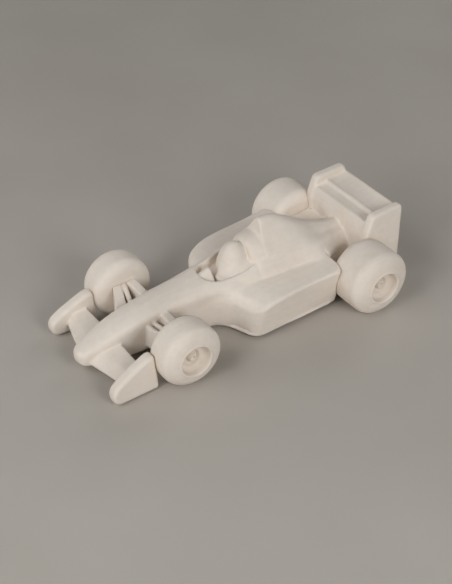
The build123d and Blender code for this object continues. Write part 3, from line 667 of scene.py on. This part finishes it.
def lathe(name, prof, cx, cz, seg, side, node, closed):
    """Turns a profile of (y, r). closed joins its ends (a ring); otherwise both ends are on the axis."""
    prof = np.array(prof, float); n = len(prof)
    th = np.arange(seg) * 2 * math.pi / seg
    P = np.empty((n, seg, 3))
    P[:, :, 0] = cx + prof[:, 1:2] * np.cos(th); P[:, :, 1] = prof[:, 0:1]; P[:, :, 2] = cz + prof[:, 1:2] * np.sin(th)
    P = P.reshape(-1, 3)
    idx = np.arange(n * seg).reshape(n, seg)
    rows = range(n) if closed else range(n - 1)
    Q = []
    for r in rows:
        a, b = idx[r], idx[(r + 1) % n]
        Q.append(np.stack([a, np.roll(a, -1), np.roll(b, -1), b], 1))
    Q = np.concatenate(Q)
    faces = [tuple(q) for q in Q]
    if not closed:
        c0, c1 = len(P), len(P) + 1
        P = np.vstack([P, [[cx, prof[0, 0], cz], [cx, prof[-1, 0], cz]]])
        for k in range(seg):
            faces.append((int(idx[0][k]), c0, int(idx[0][(k + 1) % seg])))
            faces.append((int(idx[-1][(k + 1) % seg]), c1, int(idx[-1][k])))
    P[:, 2] = np.maximum(P[:, 2], 0)
    if side < 0:
        P[:, 1] *= -1
        faces = [f[::-1] for f in faces]
    P = wobble(P)
    me = bpy.data.meshes.new(name)
    me.from_pydata((P * 0.001).tolist(), [], [tuple(int(i) for i in f) for f in faces])
    me.polygons.foreach_set("use_smooth", [True] * len(me.polygons))
    me.update()
    import bmesh
    bm = bmesh.new(); bm.from_mesh(me)
    bmesh.ops.recalc_face_normals(bm, faces=bm.faces)
    for e in bm.edges:
        e.smooth = e.calc_face_angle(0.0) < 0.7
    bm.to_mesh(me); bm.free()
    ob = bpy.data.objects.new(name, me)
    bpy.context.scene.collection.objects.link(ob)
    STATS.append((name, sum(len(f) - 2 for f in faces), 1, 0))
    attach(ob, "root"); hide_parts(node)
    FORMS.append(ob)


def resample(pts, step):
    """Points along a profile at about the step, through a light smoothing of its corners."""
    pts = np.array(pts, float)
    L = np.r_[0, np.cumsum(np.hypot(*np.diff(pts, axis=0).T))]
    t = np.linspace(0, L[-1], max(int(L[-1] / step), 2) + 1)
    return np.stack([np.interp(t, L, pts[:, 0]), np.interp(t, L, pts[:, 1])], 1)


def smooth_profile(pts, sigma, step=0.12):
    q = resample(pts, step)
    n = int(3 * sigma / step) + 1
    k = np.exp(-0.5 * (np.arange(-n, n + 1) * step / sigma) ** 2); k /= k.sum()
    a = np.stack([np.convolve(np.pad(q[:, c], n, mode="reflect", reflect_type="odd"), k, mode="valid") for c in (0, 1)], 1)
    a[0], a[-1] = q[0], q[-1]
    return a


SEG = 144
for d, end in ((FRONT, "front"), (REAR, "rear")):
    y0, y1, R, inn, rim, seat = d["y0"], d["y1"], d["R"], d["inn"], d["rim"], d["seat"]
    cz = R - FOOT
    # tyre: inner face, tread, shoulder, side wall with soft rings, then the seat
    face = [(y0, seat), (y0, R - inn)]
    face += arc(y0 + inn, R - inn, inn, 180, 90, 16)[1:]
    face += [(y1 - a, R - b) for a, b in d["out"]]
    face += [(y1, seat + 0.7), (y1 - 0.3, seat)]
    body = smooth_profile(face, 0.8)
    r = body[:, 1]; on = np.clip((body[:, 0] - (y1 - 8)) / 3, 0, 1)
    body[:, 0] -= on * (0.28 * np.exp(-((r - seat - 1.5) / 0.55) ** 2) + 0.18 * np.exp(-((r - seat - 3.6) / 0.6) ** 2) + 0.12 * np.exp(-((r - seat - 5.6) / 0.7) ** 2))
    body = resample(body, 0.5)
    prof = np.vstack([body, [[y, seat] for y in np.linspace(y1 - 0.3, y0, 22)[1:-1]]])
    # wheel: seat, raised lip, steep wall, dish, flange, hollow, nub with a dimple
    w = [(y1 - 0.45, seat), (y1 + 0.05, seat - 0.5), (y1 + 0.35, rim + 0.8), (y1 + 0.12, rim + 0.1), (y1 - 1.2, rim - 0.3), (y1 - 4.2, rim - 0.7),
         (y1 - 5.9, rim - 2.0), (y1 - 6.5, rim - 3.6), (y1 - 6.2, 6.6), (y1 - 5.9, 5.9), (y1 - 6.9, 5.0), (y1 - 8.0, 4.3), (y1 - 8.0, 3.7), (y1 - 6.0, 3.1),
         (y1 - 4.9, 2.6), (y1 - 4.6, 2.0), (y1 - 5.0, 1.3), (y1 - 5.7, 0.8), (y1 - 5.9, 0.25)]
    dish = resample(smooth_profile(w, 0.22), 0.34)
    whl = np.vstack([[[y0, 0.25], [y0, 4.0], [y0, 9.0], [y0, seat]], [[y, seat] for y in np.linspace(y0, y1 - 0.45, 20)[1:]], dish[1:]])
    for side, word in ((1, "left"), (-1, "right")):
        lathe("%s_%s_tyre_form" % (end, word), prof, d["x"], cz, SEG, side, "%s_%s_tyre" % (end, word), True)
        lathe("%s_%s_wheel_form" % (end, word), whl, d["x"], cz, SEG, side, "%s_%s_wheel" % (end, word), False)

for s in STATS:
    print("PIECE %-34s tris %7d parts %d dropped %d" % s)
print("TOTAL", len(STATS), sum(s[1] for s in STATS))


# ------------------------------------------------------------------ material
def nodes_of(name):
    m = bpy.data.materials.new(name); m.use_nodes = True
    nt = m.node_tree; nt.nodes.clear()
    out = nt.nodes.new("ShaderNodeOutputMaterial"); bs = nt.nodes.new("ShaderNodeBsdfPrincipled")
    nt.links.new(bs.outputs[0], out.inputs[0])
    at = nt.nodes.new("ShaderNodeTexCoord").outputs["Object"]
    return m, nt, bs, at


def noise(nt, at, scale, detail=3.0, rough=0.5, stretch=None):
    if stretch:
        mp = nt.nodes.new("ShaderNodeMapping"); mp.inputs["Scale"].default_value = stretch
        nt.links.new(at, mp.inputs["Vector"]); at = mp.outputs["Vector"]
    n = nt.nodes.new("ShaderNodeTexNoise")
    n.inputs["Scale"].default_value = scale; n.inputs["Detail"].default_value = detail; n.inputs["Roughness"].default_value = rough
    nt.links.new(at, n.inputs["Vector"])
    return n.outputs["Fac"]


def ramp(nt, fac, stops):
    r = nt.nodes.new("ShaderNodeValToRGB"); e = r.color_ramp.elements
    while len(e) < len(stops):
        e.new(0.5)
    for k, (pos, c) in zip(e, stops):
        k.position = pos; k.color = tuple(c) + (1,) if isinstance(c, tuple) else (c, c, c, 1)
    nt.links.new(fac, r.inputs["Fac"])
    return r.outputs["Color"]


def times(nt, a, b):
    x = nt.nodes.new("ShaderNodeMix"); x.data_type = "RGBA"; x.blend_type = "MULTIPLY"
    x.inputs[0].default_value = 1.0
    nt.links.new(a, x.inputs[6]); nt.links.new(b, x.inputs[7])
    return x.outputs[2]


def bump(nt, height, distance, strength, under=None):
    b = nt.nodes.new("ShaderNodeBump"); b.inputs["Distance"].default_value = distance; b.inputs["Strength"].default_value = strength
    nt.links.new(height, b.inputs["Height"])
    if under is not None:
        nt.links.new(under, b.inputs["Normal"])
    return b.outputs["Normal"]


def bisque():
    """Unglazed white earthenware: mottled, with fine grain, rubbed streaks along the car and a few pinholes; the
    pinholes are also darkened in colour as painted shade.
    """
    m, nt, bs, at = nodes_of("bisque")
    col = ramp(nt, noise(nt, at, 22.0, 2.0), [(0.30, (0.800, 0.718, 0.630)), (0.52, (0.836, 0.757, 0.673)), (0.74, (0.856, 0.781, 0.700))])
    col = times(nt, col, ramp(nt, noise(nt, at, 190.0, 3.0), [(0.32, (0.965, 0.955, 0.94)), (0.66, (1.0, 1.0, 1.0))]))
    rub = noise(nt, at, 1.0, 2.0, 0.55, (14.0, 420.0, 420.0))
    col = times(nt, col, ramp(nt, rub, [(0.30, 0.972), (0.62, 1.0)]))
    vo = nt.nodes.new("ShaderNodeTexVoronoi"); vo.inputs["Scale"].default_value = 85.0; vo.inputs["Randomness"].default_value = 1.0
    nt.links.new(at, vo.inputs["Vector"])
    pit_depth_and_shade = ramp(nt, vo.outputs["Distance"], [(0.010, 0.0), (0.032, 1.0)])
    # painted shade: the base colour is darkened to a warm grey inside each pinhole; the same mask also bumps the
    # pinholes below, which is their real depth
    col = times(nt, col, ramp(nt, pit_depth_and_shade, [(0.0, (0.86, 0.82, 0.76)), (1.0, (1.0, 1.0, 1.0))]))
    nt.links.new(col, bs.inputs["Base Color"])
    nt.links.new(ramp(nt, noise(nt, at, 60.0, 2.0), [(0.3, 0.66), (0.7, 0.80)]), bs.inputs["Roughness"])
    bs.inputs["Specular IOR Level"].default_value = 0.32
    n = bump(nt, noise(nt, at, 1700.0, 2.0, 0.6), 0.00005, 0.45)
    n = bump(nt, noise(nt, at, 300.0, 3.0), 0.00016, 0.35, n)
    n = bump(nt, rub, 0.00012, 0.2, n)
    n = bump(nt, pit_depth_and_shade, 0.0002, 0.5, n)
    nt.links.new(n, bs.inputs["Normal"])
    return m


def plain_floor():
    m, nt, bs, at = nodes_of("floor")
    col = ramp(nt, noise(nt, at, 6.0, 4.0), [(0.3, (0.46, 0.425, 0.38)), (0.7, (0.50, 0.465, 0.42))])
    nt.links.new(col, bs.inputs["Base Color"])
    bs.inputs["Roughness"].default_value = 0.9
    nt.links.new(bump(nt, noise(nt, at, 900.0, 2.0), 0.0001, 0.2), bs.inputs["Normal"])
    return m


MAT = bisque()
for ob in FORMS:
    ob.data.materials.append(MAT)

# ------------------------------------------------------------------ floor, camera, light
bpy.ops.mesh.primitive_plane_add(size=6.0, location=(0, 0, -0.0002))
floor = bpy.context.object; floor.name = "floor"
floor.data.materials.append(plain_floor())

ROLL = math.radians(-0.2)
TGT = Vector((0.0035, 0.00014, 0.01619)); DIST = 0.86097


def camera():
    cd = bpy.data.cameras.new("camera"); co = bpy.data.objects.new("camera", cd)
    bpy.context.scene.collection.objects.link(co)
    back = Vector((0.4420, 0.6646, 0.6025)).normalized()
    co.location = TGT + back * DIST
    up = Vector((0, 0, 1)); right = up.cross(back).normalized(); up2 = back.cross(right)
    c, s = math.cos(ROLL), math.sin(ROLL)
    r2 = right * c + up2 * s; u2 = up2 * c - right * s
    m = Matrix((r2, u2, back)).transposed().to_4x4()
    m.translation = co.location
    co.matrix_world = m
    cd.sensor_fit = "AUTO"; cd.sensor_width = 36.0
    cd.lens = 1195.83 / 584.0 * 36.0
    cd.clip_start = 0.01; cd.clip_end = 20
    bpy.context.scene.camera = co


camera()

# soft panels round the table: azimuth, elevation, watts
LIGHTS = [
    (0, 10, 0.48), (90, 10, 1.9), (210, 10, 1.1), (270, 10, 1.56), (300, 10, 1.7),
    (18, 30, 5.7), (90, 30, 6.45), (126, 30, 1.5), (198, 30, 2.7), (342, 30, 1.8), (0, 52, 2.7), (315, 52, 0.95),
]
for i, (az, el, watts) in enumerate(LIGHTS):
    e, a = math.radians(el), math.radians(az)
    d = Vector((math.cos(e) * math.cos(a), math.cos(e) * math.sin(a), math.sin(e)))
    ld = bpy.data.lights.new("panel.%d" % i, "AREA"); ld.energy = 0.95 * watts; ld.size = 0.55; ld.shape = "DISK"
    lo = bpy.data.objects.new("panel.%d" % i, ld)
    bpy.context.scene.collection.objects.link(lo)
    lo.location = d * 1.4 + Vector((0, 0, 0.02)); lo.rotation_euler = (-d).to_track_quat("-Z", "Y").to_euler()
world = bpy.data.worlds.new("world"); bpy.context.scene.world = world; world.use_nodes = True
world.node_tree.nodes["Background"].inputs[0].default_value = (1, 1, 1, 1)
world.node_tree.nodes["Background"].inputs[1].default_value = 0.004
bpy.context.scene.view_settings.view_transform = "Standard"
